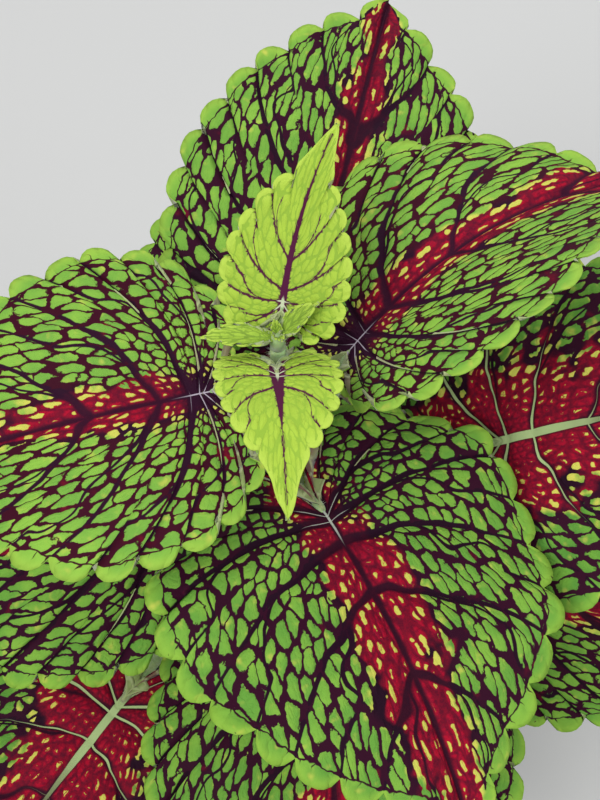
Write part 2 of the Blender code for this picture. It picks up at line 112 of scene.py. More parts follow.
# Stalks, shoots and hairs
PETIOLE_TIP = 0.22
PETIOLE_HAIRS = 26
STEM_HAIRS = 2600
SHOOT_HAIRS = 120
SHOOT_RISE = 66
SHOOT_RADIUS = 1.3
SHOOT_LEAD = 0.8
SHOOT_ABOVE_NODE = 6
TIP_HEIGHT = 5
HAIR_LENGTH = 1.3
HAIR_RADIUS = 0.035
HAIR_SINK = 0.1
HAIR_DROOP = 0.25
HAIR_SPREAD = 0.28

# Seeds of what is uneven; a leaf's own number is added to the first three
BLADE_SEED = 700
PETIOLE_SEED = 300
SHOOT_SEED = 900
STEM_SEED = 41
SOIL_SEED = 12

# A leaf's material slots
BLADE, UNDER, STALK, HAIR = range(4)

# Outlines as (share of the half width, share of the length) from the petiole round to the tip
MATURE = (
    (0, 0), (0.10, -0.07), (0.32, -0.11), (0.62, -0.07), (0.88, 0.06), (1.0, 0.26),
    (0.97, 0.46), (0.79, 0.65), (0.51, 0.81), (0.23, 0.92), (0.07, 0.975), (0, 1),
)
HEART = (
    (0, 0), (0.05, -0.13), (0.20, -0.25), (0.48, -0.27), (0.78, -0.14), (0.96, 0.04), (1.0, 0.22),
    (0.93, 0.42), (0.76, 0.62), (0.50, 0.79), (0.24, 0.905), (0.07, 0.975), (0, 1),
)
TONGUED = (
    (0, 0), (0.14, -0.09), (0.44, -0.15), (0.76, -0.11), (0.96, 0.02), (1.0, 0.17), (0.92, 0.33),
    (0.76, 0.47), (0.54, 0.60), (0.34, 0.69), (0.22, 0.78), (0.12, 0.90), (0, 1),
)
DEEP_TONGUED = (
    (0, 0), (0.10, -0.15), (0.36, -0.27), (0.72, -0.23), (0.97, -0.06), (1.0, 0.13), (0.92, 0.31),
    (0.76, 0.46), (0.54, 0.60), (0.34, 0.69), (0.22, 0.78), (0.12, 0.90), (0, 1),
)
OVAL = (
    (0, 0), (0.18, 0.02), (0.42, 0.08), (0.74, 0.20), (0.97, 0.36), (1.0, 0.50), (0.86, 0.66),
    (0.60, 0.80), (0.32, 0.91), (0.12, 0.97), (0, 1),
)


def leaf(name, node, face, base, heading, length, width, rise, droop, **more):
    """A leaf's sizes, as the CAD has them. Base is where the blade starts, width is half the blade's."""
    sizes = {
        "name": name, "node": node, "face": face, "base": np.array(base, float), "heading": heading,
        "length": length, "width": width, "rise": rise, "droop": droop, "roll": 0,
        "fold": 8, "edges": (-12, -12), "sweep": 0, "lobes": 12, "lobes_to": 0.93, "tooth": 3.7,
        "form": MATURE, "ruffle": (0, 0, 0, 0), "thick": 1.0, "look": "middle",
    }
    sizes.update(more)
    return sizes


LEAVES = (
    leaf("leaf_c_back", "C", "back", (-5, 6, 262), 80, 44, 15, 45, 5, roll=-5, fold=14, edges=(2, 3),
         sweep=12, lobes=9, lobes_to=0.78, tooth=1.7, form=TONGUED, thick=0.6, look="new"),
    leaf("leaf_c_front", "C", "front", (-6, -9, 261), -85, 38, 14, 34, -24, roll=-4, fold=11, edges=(0, 1),
         sweep=-2, lobes=10, lobes_to=0.78, tooth=1.6, form=DEEP_TONGUED, thick=0.6, look="young"),
    leaf("leaf_d_left", "D", "left", (-21, -3, 241), 194, 76, 42, 5, -20, fold=13, edges=(-4, -4), sweep=3,
         look="middle"),
    leaf("leaf_d_right", "D", "right", (10, 6, 243), 48, 88, 39, 24, -26, roll=-24, fold=15, edges=(4, 8),
         sweep=12, look="middle"),
    leaf("leaf_e_back", "E", "back", (0, 22, 217), 77, 107, 44, 20, -3, roll=10, fold=7, edges=(-17, -18),
         sweep=4, lobes=13, tooth=4.1, look="back"),
    leaf("leaf_e_front", "E", "front", (4, -18, 210), -57, 85, 54, -2, -34, roll=-18, fold=4,
         edges=(-2, -15), sweep=4, lobes=13, tooth=4.3, form=HEART, ruffle=(4.5, 1.5, 4, -0.6), look="red"),
    leaf("leaf_f_right", "F", "right", (50, 13, 181), 2, 100, 50, 30, -18, roll=8, fold=8, edges=(-8, -10),
         sweep=-3, lobes=13, tooth=4.1, form=HEART, look="old"),
    leaf("leaf_f_left", "F", "left", (-31, -8, 182), 178, 98, 48, 8, -24, roll=2, fold=6, edges=(-15, -15),
         sweep=-8, lobes=13, tooth=4.1, look="red"),
    leaf("leaf_g_back", "G", "back", (-3, 34, 158), 102, 104, 48, 10, -24, fold=6, edges=(-16, -16),
         sweep=4, lobes=13, tooth=4.1, look="red"),
    leaf("leaf_g_front", "G", "front", (8, -27, 152), -90, 106, 52, 4, -26, fold=6, edges=(-18, -18),
         lobes=13, tooth=4.1, look="red"),
    leaf("leaf_h_right", "H", "right", (43, -7, 128), -4, 94, 42, 5, -26, roll=-6, fold=7, edges=(-15, -14),
         sweep=4, lobes=12, look="red"),
    leaf("leaf_h_left", "H", "left", (-51, -42, 129), 234, 88, 45, 1, -26, fold=6, edges=(-15, -15),
         sweep=4, lobes=12, form=HEART, look="old"),
)


# Leaf surface


def spline(points, steps=24):
    """Points along a Catmull-Rom curve through the given ones."""
    points = np.array(points, float)
    points = np.vstack([2 * points[0] - points[1], points, 2 * points[-1] - points[-2]])
    t = np.linspace(0, 1, steps, endpoint=False)[:, None]
    pieces = []
    for a, b, c, d in zip(points, points[1:], points[2:], points[3:]):
        cubic = 2 * b + (c - a) * t + (2 * a - 5 * b + 4 * c - d) * t**2
        pieces.append(0.5 * (cubic + (3 * b - a - 3 * c + d) * t**3))
    return np.vstack([*pieces, points[-2:-1]])


def unit(vectors):
    return vectors / np.maximum(np.linalg.norm(vectors, axis=-1, keepdims=True), 1e-9)


def chord(distance, start, end, full):
    """The chord at distance, and its heading, of an arc that turns from start to end over full."""
    half = np.radians(end - start) * distance / full / 2
    return distance * np.sinc(half / np.pi), np.radians(start) + half


def blade_place(sizes, across, along, lift=0.0):
    """Places the flat blade's points on the plant. Across is positive to the right, seen from the petiole."""
    length, width = sizes["length"], sizes["width"]
    share = along / length
    sweep = math.radians(sizes["sweep"])
    reach, heading = chord(along, 0, sizes["sweep"], length)
    spine_across, spine_along = reach * np.sin(heading), reach * np.cos(heading)
    edge = np.where(across < 0, *sizes["edges"])
    reach, tilt = chord(np.abs(across), sizes["fold"], edge, width)
    offset = np.sign(across) * reach * np.cos(tilt)
    left_crest, right_crest, waves, start = sizes["ruffle"]
    crest = np.where(across < 0, left_crest, right_crest)
    ripple = crest * (across / width) ** 2 * np.cos(waves * math.pi * share + start)
    up = reach * np.sin(tilt) + ripple + lift
    flat_x = spine_across + offset * np.cos(sweep * share)
    flat_y = spine_along - offset * np.sin(sweep * share)
    rise, droop = math.radians(sizes["rise"]), math.radians(sizes["droop"])
    reach, pitch = chord(flat_y, sizes["rise"], sizes["droop"], length)
    slope = rise + (droop - rise) * flat_y / length
    local = np.stack(np.broadcast_arrays(
        flat_x, reach * np.cos(pitch) - up * np.sin(slope), reach * np.sin(pitch) + up * np.cos(slope),
    ), -1)
    turned = local @ spin((0, math.cos(rise), math.sin(rise)), sizes["roll"]).T
    turned = turned @ spin((0, 0, 1), sizes["heading"] - 90).T
    return sizes["base"] + turned


def spin(axis, degrees):
    """The matrix that turns about an axis."""
    x, y, z = unit(np.array(axis, float))
    cross = np.array([[0, -z, y], [z, 0, -x], [-y, x, 0]])
    angle = math.radians(degrees)
    return np.eye(3) + math.sin(angle) * cross + (1 - math.cos(angle)) * cross @ cross


def quads_of(grid):
    """What a grid holds at the four corners of each of its cells."""
    corners = (grid[:-1, :-1], grid[:-1, 1:], grid[1:, 1:], grid[1:, :-1])
    return np.stack(corners, 2).reshape(-1, 4, *grid.shape[2:])


def running(steps):
    """Running sums along each row, from nought."""
    return np.concatenate([np.zeros((len(steps), 1)), np.cumsum(steps, 1)], 1)


def margin(sizes, k):
    """Points at shares k of the smooth outline's length, on the flat blade's right half."""
    outline = spline([(x * sizes["width"], y * sizes["length"]) for x, y in sizes["form"]])
    steps = np.linalg.norm(np.diff(outline, axis=0), axis=1)
    shares = np.concatenate([[0], np.cumsum(steps)]) / steps.sum()
    return np.stack([np.interp(k, shares, outline[:, axis]) for axis in (0, 1)], -1)


def toothed_margin(sizes, k, lobe):
    """The margin pulled in at each notch between two round teeth."""
    lobes = sizes["lobes"]
    direction = unit(margin(sizes, k + MARGIN_STEP) - margin(sizes, k - MARGIN_STEP))
    inward = np.stack([-direction[:, 1], direction[:, 0]], -1)
    notch = np.abs(2 * (lobe - np.floor(lobe + 1e-6)) - 1) ** 3
    notch = np.where(lobe > lobes + 1e-6, np.clip(1 - 2 * (lobe - lobes), 0, 1) ** 3, notch)
    return margin(sizes, k) + inward * (sizes["tooth"] * notch)[:, None]


def row_starts(sizes, k):
    """How far along the midrib each row leaves it: close together at the base, then ever further apart."""
    near = FAN_SPREAD * np.minimum(k / FAN, 1)
    far = (1 - FAN_SPREAD) * np.maximum(0, (k - FAN) / (1 - FAN)) ** FAN_POWER
    return (near + far) * sizes["length"]


# One half of the flat blade, in rows that follow the lateral veins out to the margin: x and y, the count of
# lobes so far, the distance out along the row, the row's length, the spacing of the rows to a lobe, the share
# of the way out, and the count of cells so far.
Grid = namedtuple("Grid", "x y lobe out row spacing share cells")


def blade_grid(sizes, rows_per_lobe, columns):
    lobes, lobes_to = sizes["lobes"], sizes["lobes_to"]
    step = (lobes_to - LOBES_FROM) / lobes
    tip_rows = max(TIP_ROWS, round((1 - lobes_to) / step * rows_per_lobe))
    k = np.linspace(LOBES_FROM, lobes_to, lobes * rows_per_lobe + 1)
    k = np.concatenate([k, np.linspace(lobes_to, 1, tip_rows + 1)[1:]])
    lobe = (k - LOBES_FROM) / step
    edge = toothed_margin(sizes, k, lobe)
    start = np.stack([0 * k, row_starts(sizes, k)], -1)
    across = edge - start
    bow = start + across / 2 + np.stack([across[:, 1], -across[:, 0]], -1) * VEIN_BOW
    share = np.linspace(0, 1, columns) ** COLUMN_POWER
    r = share[None, :, None]
    flat = start[:, None] * (1 - r) ** 2 + bow[:, None] * 2 * r * (1 - r) + edge[:, None] * r**2
    out = running(np.linalg.norm(np.diff(flat, axis=1), axis=2))
    along = unit(np.gradient(flat, axis=1) + 1e-9)
    beside = np.gradient(flat, lobe, axis=0)
    spacing = np.abs(beside[..., 0] * along[..., 1] - beside[..., 1] * along[..., 0])
    forward = np.clip((k[:, None] - 0.5) / 0.4, 0, 1)
    cell = np.minimum(CELL_LENGTH + CELL_GAIN_FORWARD * forward + CELL_GROWTH * out, CELL_LENGTH_MOST)
    cells = running(np.diff(out, axis=1) / (cell[:, 1:] + cell[:, :-1]) * 2)
    lobe, share = np.broadcast_arrays(lobe[:, None], share[None, :])
    return Grid(flat[..., 0], flat[..., 1], lobe, out, out[:, -1:] + 0 * out, spacing, share, cells)


def relief(sizes, rng, at):
    """How far the skin stands off the smooth blade: sunk laterals, puffed strips, waves and a frill."""
    scale = sizes["width"] / FULL_HALF_WIDTH
    lateral = np.abs((at.lobe + 1) % 2 - 1) * at.spacing
    fade = np.clip(1.3 - 1.2 * at.share, 0, 1) * np.clip(at.out / 3, 0, 1)
    puff = np.clip(3 * at.share * (1 - at.share) + 0.15, 0, 1)
    lift = -0.75 * scale * np.exp(-((lateral / (1.3 * scale)) ** 2)) * fade
    lift += 0.8 * scale * (1 - np.exp(-((lateral / (4.5 * scale)) ** 2))) * puff
    groove = np.exp(-((at.x / (1.6 * scale)) ** 2)) * np.clip(at.y / 12, 0, 1)
    lift -= MIDRIB_GROOVE * scale * groove
    for size, height in BLADE_WAVES:
        turn, phase, other = rng.uniform(0, 2 * math.pi, 3)
        across = at.x * math.cos(turn) + at.y * math.sin(turn)
        along = at.y * math.cos(turn) - at.x * math.sin(turn)
        wave = np.sin(across / size * math.pi + phase) * np.sin(along / size * 3 + other)
        lift += height * scale * wave * at.share
    frill = np.sin(at.lobe * math.pi + rng.uniform(0, 6))
    frill += 0.7 * np.sin(at.lobe * 2 * math.pi / 3.3 + rng.uniform(0, 6))
    return lift + 0.9 * scale * frill * at.share**5


class Soup:
    """Vertices, faces and what each face corner carries, gathered for one mesh."""

    def __init__(self):
        self.verts = []
        self.faces = []
        self.slots = []
        self.carried = {"vein": [], "edge": [], "flat": []}
        self.count = 0

    def place(self, verts):
        """Adds vertices, and gives the number of the first."""
        first = self.count
        self.verts.append(np.asarray(verts))
        self.count += len(verts)
        return first

    def cover(self, first, faces, slot, **carried):
        """Adds faces whose corners count from first. A carried array has three numbers a corner."""
        faces = np.asarray(faces)
        self.faces += (faces + first).tolist()
        self.slots += [slot] * len(faces)
        for name, store in self.carried.items():
            values = carried.get(name, np.zeros((faces.size, 3)))
            store.append(values.reshape(-1, 3))

    def mesh(self, name, finishes):
        made = bpy.data.meshes.new(name)
        made.from_pydata(np.vstack(self.verts) * MM, [], self.faces)
        made.polygons.foreach_set("material_index", self.slots)
        for finish in finishes:
            made.materials.append(finish)
        for key, store in self.carried.items():
            layer = made.attributes.new(key, "FLOAT_VECTOR", "CORNER")
            layer.data.foreach_set("vector", np.vstack(store).astype(np.float32).ravel())
        made.update()
        made.shade_smooth()
        return made


def surface_normals(verts, faces):
    """The normals at the vertices, from the faces that have an area."""
    solid = [len({tuple(np.round(verts[corner], 4)) for corner in face}) >= 3 for face in faces]
    shape = bpy.data.meshes.new("helper")
    shape.from_pydata(verts, [], faces[np.array(solid)].tolist())
    shape.update()
    normals = np.empty(len(verts) * 3, np.float32)
    shape.vertex_normals.foreach_get("vector", normals)
    bpy.data.meshes.remove(shape)
    return normals.reshape(-1, 3)


def add_blade(soup, sizes, number, rows_per_lobe=ROWS_PER_LOBE, columns=BLADE_COLUMNS, thick=BLADE_THICK):
    """The blade as a thin closed shell. Both halves share the midrib, and the rim is thinner."""
    rng = np.random.default_rng(BLADE_SEED + number)
    at = blade_grid(sizes, rows_per_lobe, columns)
    rows = len(at.x)
    right = np.arange(rows * columns).reshape(rows, columns)
    left = rows * columns + np.arange(rows * (columns - 1)).reshape(rows, columns - 1)
    left = np.concatenate([right[:, :1], left], 1)
    top, faces = [], []
    corners = {"vein": [], "edge": [], "flat": []}
    at_vertex = {"vein": [], "edge": [], "flat": []}
    for side, index, first in ((1, right, 0), (-1, left, 1)):
        place = blade_place(sizes, side * at.x, at.y, relief(sizes, rng, at))
        top.append(place[:, first:].reshape(-1, 3))
        faces.append(quads_of(index)[:, ::side])
        half = LOBES_A_HALF * (2 * number + (side < 0))
        for key, values in (
            ("vein", (at.lobe + half, at.out, at.row)),
            ("edge", (at.spacing, at.share, at.cells)),
            ("flat", (side * at.x, at.y, 0 * at.x + PATTERN_SHIFT * number)),
        ):
            values = np.stack(values, -1)
            corners[key].append(quads_of(values)[:, ::side])
            at_vertex[key].append(values[:, first:].reshape(-1, 3))
    top, faces = np.vstack(top), np.vstack(faces)
    corners = {key: np.concatenate(value) for key, value in corners.items()}
    at_vertex = {key: np.vstack(value) for key, value in at_vertex.items()}
    count = len(top)
    depth = np.empty(count)
    for index in (right, left):
        depth[index] = thick + (EDGE_THICK - thick) * at.share**6
    bottom = top - surface_normals(top, faces) * depth[:, None]
    loop = np.concatenate([right[0], right[1:, -1], left[:-1, -1][::-1], left[0, 1:-1][::-1]])
    following = np.roll(loop, -1)
    rim = np.stack([loop, loop + count, following + count, following], -1)
    start = soup.place(np.vstack([top, bottom]))
    soup.cover(start, faces, BLADE, **corners)
    reversed_corners = {key: value[:, ::-1] for key, value in corners.items()}
    soup.cover(start, faces[:, ::-1] + count, UNDER, **reversed_corners)
    soup.cover(start, rim, BLADE, **{key: value[rim % count] for key, value in at_vertex.items()})


def bar_faces(rings, sides):
    """The side quads of a bar of rings, and the triangles that close its ends at two more vertices."""
    i, j = np.meshgrid(np.arange(rings - 1), np.arange(sides), indexing="ij")
    a, b = i * sides + j, i * sides + (j + 1) % sides
    quads = np.stack([a, b, b + sides, a + sides], -1).reshape(-1, 4)
    last = (rings - 1) * sides
    foot, top = rings * sides, rings * sides + 1
    ends = [(foot, (j + 1) % sides, j) for j in range(sides)]
    ends += [(top, last + j, last + (j + 1) % sides) for j in range(sides)]
    return quads, ends


def tube(soup, path, radii, slot, sides=12):
    """A round bar along a path with closed ends, which carries the share of the way along it."""
    path = np.asarray(path, float)
    count = len(path)
    tangents = unit(np.gradient(path, axis=0))
    normal = np.cross(tangents[0], (0.0, 0.0, 1.0))
    if np.linalg.norm(normal) < 0.1:
        normal = np.cross(tangents[0], (1.0, 0.0, 0.0))
    rings = []
    turn = np.linspace(0, 2 * math.pi, sides, endpoint=False)[:, None]
    for place, tangent, radius in zip(path, tangents, radii):
        normal = unit(normal - tangent * np.dot(normal, tangent))
        other = np.cross(tangent, normal)
        rings.append(place + radius * (np.cos(turn) * normal + np.sin(turn) * other))
    quads, ends = bar_faces(count, sides)
    along = (np.repeat(np.arange(count) / (count - 1), sides)[quads]).ravel()
    first = soup.place(np.vstack([*rings, path[:1], path[-1:]]))
    soup.cover(first, quads, slot, flat=np.stack([along, 0 * along, 0 * along], -1))
    soup.cover(first, ends, slot)


def bezier(bends, t):
    a, b, c, d = (np.asarray(bend, float) for bend in bends)
    t = np.asarray(t)[:, None]
    return a * (1 - t) ** 3 + b * 3 * t * (1 - t) ** 2 + c * 3 * t**2 * (1 - t) + d * t**3


def add_hairs(soup, roots, directions, rng, slot, length=HAIR_LENGTH):
    """Three-sided needles that stand on the roots and lean a little each its own way."""
    count = len(roots)
    directions = directions + rng.normal(0, HAIR_SPREAD, (count, 3))
    directions = unit(directions - np.array([0, 0, HAIR_DROOP]) * rng.uniform(0, 1, (count, 1)))
    lengths = length * rng.uniform(0.5, 1.15, (count, 1))
    side = unit(np.cross(directions, rng.normal(0, 1, (count, 3))))
    other = np.cross(directions, side)
    verts = [roots + directions * lengths]
    for turn in (0, 2 * math.pi / 3, 4 * math.pi / 3):
        foot = HAIR_RADIUS * (math.cos(turn) * side + math.sin(turn) * other)
        verts.append(roots - directions * HAIR_SINK + foot)
    tip = np.arange(count)
    faces = [np.stack([tip, tip + count * a, tip + count * b], -1) for a, b in ((1, 2), (2, 3), (3, 1))]
    soup.cover(soup.place(np.concatenate(verts)), np.concatenate(faces), slot)


# Stem


def stem_centre(height):
    share = np.maximum(0, (np.asarray(height, float) - SOIL_TOP) / (STEM_TOP - SOIL_TOP))
    return np.stack([STEM_LEAN * share**1.6, 0 * share, np.asarray(height, float)], -1)


def stem_half_width(height):
    height = np.asarray(height, float)
    share = (height - STEM_FOOT) / (STEM_TOP - STEM_FOOT)
    width = STEM_HALF_WIDTH_FOOT + (STEM_HALF_WIDTH_TOP - STEM_HALF_WIDTH_FOOT) * share
    swell = sum(np.exp(-(((height - node) / NODE_SWELL_REACH) ** 2)) for node in NODE_HEIGHTS.values())
    return width * (1 + NODE_SWELL * swell)


def face_direction(face):
    angle = math.radians(FACES[face])
    return np.array((math.cos(angle), math.sin(angle), 0))


def petiole_path(sizes, steps=22):
    """From level at the stem's flat, up to the blade's base along the midrib's own direction."""
    height = NODE_HEIGHTS[sizes["node"]]
    out = face_direction(sizes["face"])
    seat = stem_centre(height) + out * (stem_half_width(height) + SEAT_GAP)
    start = seat + out * PETIOLE_LEAD
    end = blade_place(sizes, np.zeros(1), np.zeros(1), MIDRIB_SINK - PETIOLE_RADIUS * sizes["thick"])[0]
    foot, ahead = blade_place(sizes, np.zeros(2), np.array([0.0, 4.0]))
    pull = np.linalg.norm(end - start) * 0.4
    bends = (start, start + out * pull, end - unit(ahead - foot) * pull, end)
    return np.vstack([seat, bezier(bends, np.linspace(0, 1, steps))])


def add_petiole(soup, sizes, rng):
    """The stalk, swollen at the stem, which runs on under the blade as the midrib and carries hairs."""
    thick = PETIOLE_RADIUS * sizes["thick"]
    thin = PETIOLE_TIP * sizes["thick"]
    path = petiole_path(sizes)
    radii = np.linspace(1.12 * thick, thick, len(path))
    radii[:4] *= (1.16, 1.12, 1.06, 1.02)
    shares = np.linspace(0.03, 0.9, 30)
    rib = thin + (thick - thin) * (1 - shares) ** 2.2
    groove = MIDRIB_GROOVE * sizes["width"] / FULL_HALF_WIDTH * np.clip(shares * sizes["length"] / 12, 0, 1)
    lift = MIDRIB_SINK - rib - 0.5 * sizes["thick"] - groove
    under = blade_place(sizes, 0 * shares, shares * sizes["length"], lift)
    tube(soup, np.vstack([path, under]), np.concatenate([radii, rib]), STALK)
    count = int(PETIOLE_HAIRS * sizes["thick"] * len(path))
    pick = rng.uniform(0, len(path) - 1.001, count)
    low = pick.astype(int)
    centre = path[low] + (path[low + 1] - path[low]) * (pick - low)[:, None]
    tangent = unit(path[low + 1] - path[low])
    out = unit(np.cross(tangent, unit(rng.normal(0, 1, (count, 3)))))
    add_hairs(soup, centre + out * radii[low][:, None] * 0.97, out, rng, HAIR)


def make_piece(name, soup, finishes, node=None):
    made = bpy.data.objects.new(name, soup.mesh(name, finishes))
    bpy.context.scene.collection.objects.link(made)
    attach(made, "root")
    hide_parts(node or name)


def leaf_parts(finishes, look):
    """A leaf's materials, in the order of its slots."""
    return [finishes["leaf_" + look], finishes["underside"], finishes["stem"], finishes["hair"]]


def make_leaf(sizes, number, finishes):
    soup = Soup()
    add_blade(soup, sizes, number)
    add_petiole(soup, sizes, np.random.default_rng(PETIOLE_SEED + number))
    look, name = sizes["look"], sizes["name"]
    make_piece(name + "_dressed", soup, leaf_parts(finishes, look), name)


def small_leaf(soup, base, heading, length, rise, droop, number, fold=12, slim=0.34):
    """One of the small leaves of a shoot, whose narrow foot is sunk into what it grows from."""
    sizes = leaf("small", "C", "front", base, heading, length, length * slim, rise, droop, fold=fold,
                 edges=(4, 4), lobes=5, tooth=length * slim * 0.14, form=OVAL)
    add_blade(soup, sizes, number, rows_per_lobe=6, columns=10, thick=0.45)


def make_side_shoot(node, face, reach, size, number, finishes):
    """A stub that bends upwards with a pair of small leaves, and the next pair folded in its middle."""
    height = NODE_HEIGHTS[node] + SHOOT_ABOVE_NODE
    out = face_direction(face)
    foot = stem_centre(height) + out * (stem_half_width(height) + SEAT_GAP)
    rise = math.radians(SHOOT_RISE)
    lean = (out * math.cos(rise) + np.array((0, 0, 1)) * math.sin(rise)) * reach
    bend = foot + out * SHOOT_LEAD
    bends = (bend, bend + out * reach * 0.25, bend + lean * 0.7, bend + lean)
    path = np.vstack([foot, bezier(bends, np.linspace(0, 1, 12))])
    radii = SHOOT_RADIUS * np.linspace(1.1, 0.72, len(path))
    soup = Soup()
    tube(soup, path, radii, STALK)
    for pair, (share, up, down) in enumerate(((1.0, 32, -8), (0.5, 58, 30))):
        for side in (0, 180):
            turn = FACES[face] + 90 + 90 * pair + side
            away = np.array((math.cos(math.radians(turn)), math.sin(math.radians(turn)), 0))
            base = path[-1] + away * 0.25 - np.array((0, 0, 1.0))
            small_leaf(soup, base, turn, size * share, up, down, number + pair, fold=12 + 10 * pair)
    rng = np.random.default_rng(SHOOT_SEED + number)
    pick = rng.integers(0, len(path) - 1, SHOOT_HAIRS)
    tangent = unit(path[pick + 1] - path[pick])
    away = unit(np.cross(tangent, rng.normal(0, 1, (SHOOT_HAIRS, 3))))
    add_hairs(soup, path[pick] + away * radii[pick][:, None], away, rng, HAIR, 0.8)
    name = f"side_shoot_{node.lower()}_{face}"
    make_piece(name + "_dressed", soup, leaf_parts(finishes, "small"), name)


# Side shoots as (node, face, reach, length of leaf)
SIDE_SHOOTS = (
    ("E", "front", 6, 8), ("E", "back", 9, 11), ("F", "right", 16, 18.5), ("F", "left", 15, 18),
    ("G", "front", 17, 22), ("G", "back", 17, 22),
)

# The growing point's leaves as (heading, length, rise, droop, drop, fold, slimness)
TIP_LEAVES = (
    (186, 17, 22, 2, 1.6, 26, 0.19), (22, 13, 52, 36, 1.6, 26, 0.22),
    (110, 5, 80, 70, 0.8, 30, 0.28), (-70, 5, 60, 40, 0.8, 30, 0.28),
)


def make_shoot_tip(finishes):
    """The growing point: a pointed pair to the sides, and the folded bud in the middle."""
    soup = Soup()
    foot = stem_centre(STEM_TOP) + np.array((0, 0, SEAT_GAP))
    half = float(stem_half_width(STEM_TOP))
    top = foot + (0, 0, TIP_HEIGHT)
    tube(soup, [foot, foot + (0, 0, TIP_HEIGHT / 2), top], [half, half * 0.95, half * 0.7], STALK)
    for number, (heading, length, up, down, drop, fold, slim) in enumerate(TIP_LEAVES):
        turn = math.radians(heading)
        base = top + np.array((math.cos(turn), math.sin(turn), 0)) * 0.3 - (0, 0, drop)
        small_leaf(soup, base, heading, length, up, down, 60 + number, fold, slim)
    make_piece("shoot_tip_dressed", soup, leaf_parts(finishes, "small"), "shoot_tip")


def make_stem(finishes, sides=32):
    """The square stem with rounded corners and a shallow groove down each side."""
    soup = Soup()
    heights = np.append(np.arange(STEM_FOOT, STEM_TOP, 1.5), STEM_TOP)
    turn = np.linspace(0, 2 * math.pi, sides, endpoint=False)
    x, y = np.cos(turn), np.sin(turn)
    shape = 1 / (np.abs(x) ** 5 + np.abs(y) ** 5) ** (1 / 5)
    shape *= 1 - 0.07 * np.exp(-((np.minimum(np.abs(x), np.abs(y)) / 0.2) ** 2))
    section = np.stack([x * shape, y * shape, 0 * turn], -1)
    rings = [stem_centre(height) + section * stem_half_width(height) for height in heights]
    quads, ends = bar_faces(len(heights), sides)
    first = soup.place(np.vstack([*rings, stem_centre(STEM_FOOT), stem_centre(STEM_TOP)]))
    soup.cover(first, quads, 0)
    soup.cover(first, ends, 0)
    rng = np.random.default_rng(STEM_SEED)
    level = rng.uniform(SOIL_TOP + SOIL_MOUND + 1, STEM_TOP - 1, STEM_HAIRS)
    angle = rng.integers(0, sides, STEM_HAIRS)
    out = np.stack([x[angle], y[angle], 0 * level], -1)
    roots = stem_centre(level) + out * (shape[angle] * stem_half_width(level))[:, None] * 0.98
    add_hairs(soup, roots, out, rng, 1, 1.2)
    make_piece("main_stem_dressed", soup, [finishes["stem"], finishes["hair"]], "main_stem")


# Finishes


class Tree:
    """Adds shader nodes to a material, one call a node."""

    def __init__(self, name):
        self.material = bpy.data.materials.new(name)
        self.material.use_nodes = True
        self.tree = self.material.node_tree
        self.shader = self.tree.nodes["Principled BSDF"]

    def new(self, kind):
        return self.tree.nodes.new("ShaderNode" + kind)

    def plug(self, socket, value):
        """Links a socket to another, or sets its number or its colour."""
        if isinstance(value, bpy.types.NodeSocket):
            self.tree.links.new(value, socket)
        else:
            socket.default_value = (*value, 1) if isinstance(value, tuple) else value

    def math(self, operation, *values):
        node = self.new("Math")
        node.operation = operation
        for socket, value in zip(node.inputs, values):
            self.plug(socket, value)
        return node.outputs[0]

    def add(self, a, b):
        return self.math("ADD", a, b)

    def sub(self, a, b):
        return self.math("SUBTRACT", a, b)

    def mul(self, a, b):
        return self.math("MULTIPLY", a, b)

    def least(self, first, *others):
        for other in others:
            first = self.math("MINIMUM", first, other)
        return first

    def ramp(self, value, low, high, to_low=0.0, to_high=1.0, kind="SMOOTHSTEP"):
        node = self.new("MapRange")
        node.interpolation_type = kind
        for socket, number in zip(node.inputs, (value, low, high, to_low, to_high)):
            self.plug(socket, number)
        return node.outputs[0]

    def noise(self, vector, scale, detail=2.0, rough=0.5):
        node = self.new("TexNoise")
        self.plug(node.inputs["Vector"], vector)
        node.inputs["Scale"].default_value = scale
        node.inputs["Detail"].default_value = detail
        node.inputs["Roughness"].default_value = rough
        return self.sub(node.outputs["Fac"], 0.5)

    def voronoi(self, vector, feature, random):
        node = self.new("TexVoronoi")
        node.voronoi_dimensions = "2D"
        node.feature = feature
        self.plug(node.inputs["Vector"], vector)
        node.inputs["Scale"].default_value = 1.0
        node.inputs["Randomness"].default_value = random
        return node.outputs["Distance"]

    def vector(self, x, y):
        node = self.new("CombineXYZ")
        for socket, value in zip(node.inputs, (x, y)):
            self.plug(socket, value)
        return node.outputs[0]

    def attribute(self, name):
        """The carried vector, and its three numbers."""
        node = self.new("Attribute")
        node.attribute_name = name
        return node.outputs["Vector"], *self.split(node.outputs["Vector"])

    def split(self, vector):
        node = self.new("SeparateXYZ")
        self.plug(node.inputs[0], vector)
        return node.outputs

    def shift(self, vector, distance):
        node = self.new("VectorMath")
        node.operation = "ADD"
        self.plug(node.inputs[0], vector)
        node.inputs[1].default_value = (distance, distance, distance)
        return node.outputs[0]

    def scaled(self, vector, times):
        node = self.new("VectorMath")
        node.operation = "SCALE"
        self.plug(node.inputs[0], vector)
        node.inputs["Scale"].default_value = times
        return node.outputs[0]

    def place(self):
        """The point in the object's own metres."""
        return self.new("TexCoord").outputs["Object"]

    def mix(self, share, a, b):
        node = self.new("Mix")
        node.data_type = "RGBA"
        for number, value in ((0, share), (6, a), (7, b)):
            self.plug(node.inputs[number], value)
        return node.outputs[2]

    def bump(self, height, distance, strength=1.0):
        node = self.new("Bump")
        node.inputs["Distance"].default_value = distance
        node.inputs["Strength"].default_value = strength
        self.plug(node.inputs["Height"], height)
        self.plug(self.shader.inputs["Normal"], node.outputs[0])

    def finish(self, colour, roughness, **constants):
        self.plug(self.shader.inputs["Base Color"], colour)
        self.plug(self.shader.inputs["Roughness"], roughness)
        for name, value in constants.items():
            self.shader.inputs[name.replace("_", " ")].default_value = value
        return self.material


